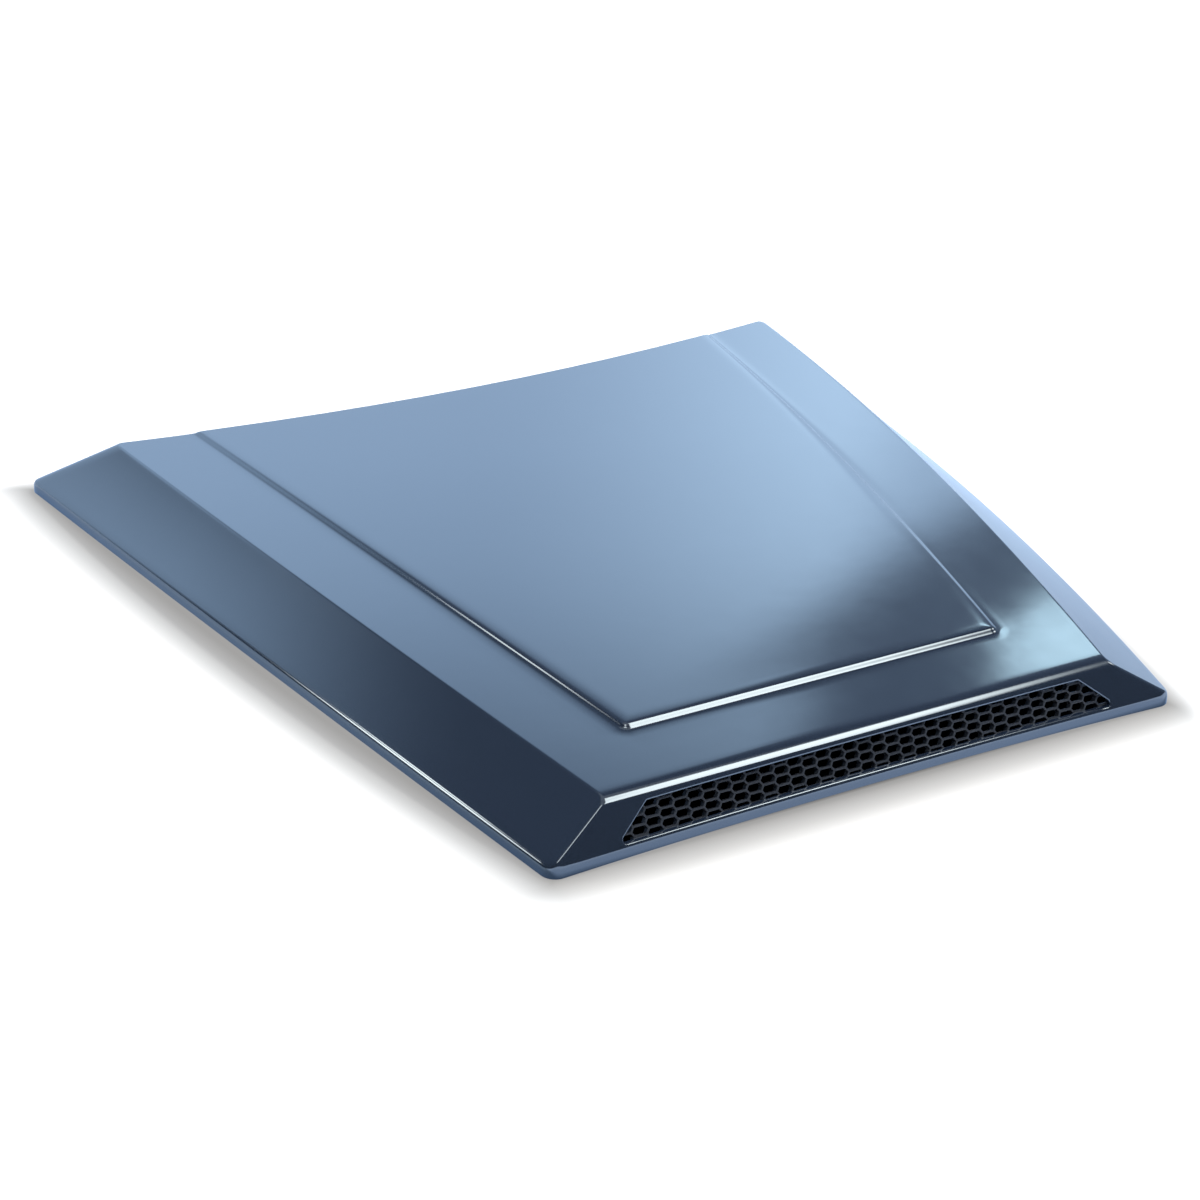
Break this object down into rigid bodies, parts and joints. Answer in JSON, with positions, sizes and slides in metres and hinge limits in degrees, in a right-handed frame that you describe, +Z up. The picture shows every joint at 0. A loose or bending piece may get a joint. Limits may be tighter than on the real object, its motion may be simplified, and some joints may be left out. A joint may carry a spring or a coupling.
{
  "type": "bonnet scoop",
  "caption": "Low moulded bonnet scoop, a hollow wedge with a raised top panel and a wide front slot backed by honeycomb mesh, glued down along its foot.",
  "frame": {"origin": "Centre of the foot's bounding box, at the height of the lowest points of the foot rim.", "axes": "+X across the bonnet, +Y from the slotted front end to the wide rear end, +Z up, away from the bonnet."},
  "size_m": [0.7222, 0.7532, 0.068],
  "materials": {
    "blue_black_gloss": "Deep blue-black moulded plastic with a high gloss, which mirrors the sky softly.",
    "charcoal_mesh": "Charcoal moulded honeycomb, satin on the webs."
  },
  "bodies": {
    "root": {"scoop_shell": "blue_black_gloss", "grille_mesh": "charcoal_mesh"}
  },
  "joints": []
}
